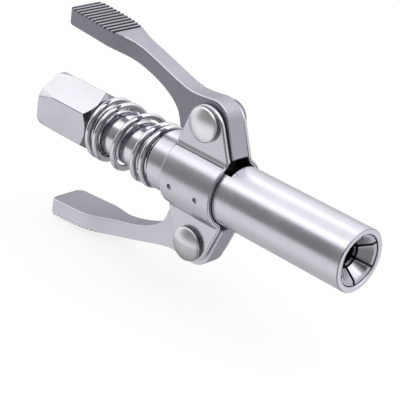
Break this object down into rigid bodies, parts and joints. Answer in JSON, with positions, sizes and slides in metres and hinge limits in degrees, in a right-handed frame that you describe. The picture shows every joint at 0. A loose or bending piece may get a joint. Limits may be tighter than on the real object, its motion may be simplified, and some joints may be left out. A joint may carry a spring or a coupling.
{
  "type": "grease coupler",
  "caption": "Locking grease coupler: hexagon inlet, sprung sliding sleeve, squeeze levers on riveted ears and a collet of jaws that grips a grease fitting.",
  "frame": {"origin": "middle of the inlet face of the hexagon", "axes": "+X along the axis from the inlet to the nose, +Z across the levers, towards the upper one"},
  "size_m": [0.1168, 0.021, 0.0656],
  "materials": {
    "bright_plating": "bright zinc-nickel plating with mirror streaks",
    "satin_plating": "satin plating over turned and pressed steel",
    "lever_plating": "matt plating over cast steel",
    "rivet_plating": "bright plating, softly polished",
    "jaw_steel": "hardened and polished steel",
    "blackened_steel": "blackened steel, oiled",
    "spring_steel": "drawn spring wire",
    "ball_steel": "polished bearing ball",
    "copper": "annealed copper",
    "brass": "turned brass",
    "seal_rubber": "black oil-proof rubber"
  },
  "bodies": {
    "inlet": {"inlet_body": "bright_plating", "seal_washer": "copper", "inner_stem": "blackened_steel", "thrust_collar": "blackened_steel", "return_spring": "bright_plating", "jaw_ring": "spring_steel", "seal_spring": "spring_steel", "check_spring": "spring_steel"},
    "sleeve": {"outer_sleeve": "satin_plating", "bracket_near": "satin_plating", "bracket_far": "satin_plating", "rivet_upper": "rivet_plating", "rivet_lower": "rivet_plating"},
    "upper_lever": {"lever_upper": "lever_plating"},
    "lower_lever": {"lever_lower": "lever_plating"},
    "jaw_1": {"jaw_1": "jaw_steel"},
    "jaw_2": {"jaw_2": "jaw_steel"},
    "jaw_3": {"jaw_3": "jaw_steel"},
    "jaw_4": {"jaw_4": "jaw_steel"},
    "jaw_5": {"jaw_5": "jaw_steel"},
    "jaw_6": {"jaw_6": "jaw_steel"},
    "seal": {"seal_cup": "brass", "face_seal": "seal_rubber"},
    "check_ball": {"check_ball": "ball_steel"}
  },
  "joints": [
    {"name": "sleeve_slide", "type": "slide", "parent": "inlet", "child": "sleeve", "axis": [-1, 0, 0], "range_m": [0, 0.003], "stiffness_N_per_m": 4000, "springref_m": -0.004, "deforming": ["return_spring"]},
    {"name": "upper_lever_squeeze", "type": "hinge", "parent": "sleeve", "child": "upper_lever", "pos_m": [0.063, 0, 0.018], "axis": [0, -1, 0], "range_deg": [0, 15.5]},
    {"name": "lower_lever_squeeze", "type": "hinge", "parent": "sleeve", "child": "lower_lever", "pos_m": [0.063, 0, -0.018], "axis": [0, 1, 0], "range_deg": [0, 15.5]},
    {"name": "jaw_1_open", "type": "hinge", "parent": "inlet", "child": "jaw_1", "pos_m": [0.09, 0.0046, 0], "axis": [0, 0, 1], "range_deg": [0, 1.42]},
    {"name": "jaw_2_open", "type": "hinge", "parent": "inlet", "child": "jaw_2", "pos_m": [0.09, 0.0023, 0.00398], "axis": [0, -0.866, 0.5], "range_deg": [0, 1.42]},
    {"name": "jaw_3_open", "type": "hinge", "parent": "inlet", "child": "jaw_3", "pos_m": [0.09, -0.0023, 0.00398], "axis": [0, -0.866, -0.5], "range_deg": [0, 1.42]},
    {"name": "jaw_4_open", "type": "hinge", "parent": "inlet", "child": "jaw_4", "pos_m": [0.09, -0.0046, 0], "axis": [0, 0, -1], "range_deg": [0, 1.42]},
    {"name": "jaw_5_open", "type": "hinge", "parent": "inlet", "child": "jaw_5", "pos_m": [0.09, -0.0023, -0.00398], "axis": [0, 0.866, -0.5], "range_deg": [0, 1.42]},
    {"name": "jaw_6_open", "type": "hinge", "parent": "inlet", "child": "jaw_6", "pos_m": [0.09, 0.0023, -0.00398], "axis": [0, 0.866, 0.5], "range_deg": [0, 1.42]},
    {"name": "seal_float", "type": "slide", "parent": "inlet", "child": "seal", "axis": [-1, 0, 0], "range_m": [0, 0.001], "stiffness_N_per_m": 900, "springref_m": -0.001, "deforming": ["seal_spring"]},
    {"name": "check_lift", "type": "slide", "parent": "inlet", "child": "check_ball", "axis": [1, 0, 0], "range_m": [0, 0.0012], "stiffness_N_per_m": 300, "springref_m": -0.001, "deforming": ["check_spring"]}
  ],
  "couplings": [
    {"joint": "upper_lever_squeeze", "follows": "sleeve_slide", "rad_per_m": 89.884},
    {"joint": "lower_lever_squeeze", "follows": "sleeve_slide", "rad_per_m": 89.884},
    {"joint": "jaw_1_open", "follows": "sleeve_slide", "rad_per_m": 8.145},
    {"joint": "jaw_2_open", "follows": "sleeve_slide", "rad_per_m": 8.145},
    {"joint": "jaw_3_open", "follows": "sleeve_slide", "rad_per_m": 8.145},
    {"joint": "jaw_4_open", "follows": "sleeve_slide", "rad_per_m": 8.145},
    {"joint": "jaw_5_open", "follows": "sleeve_slide", "rad_per_m": 8.145},
    {"joint": "jaw_6_open", "follows": "sleeve_slide", "rad_per_m": 8.145}
  ]
}
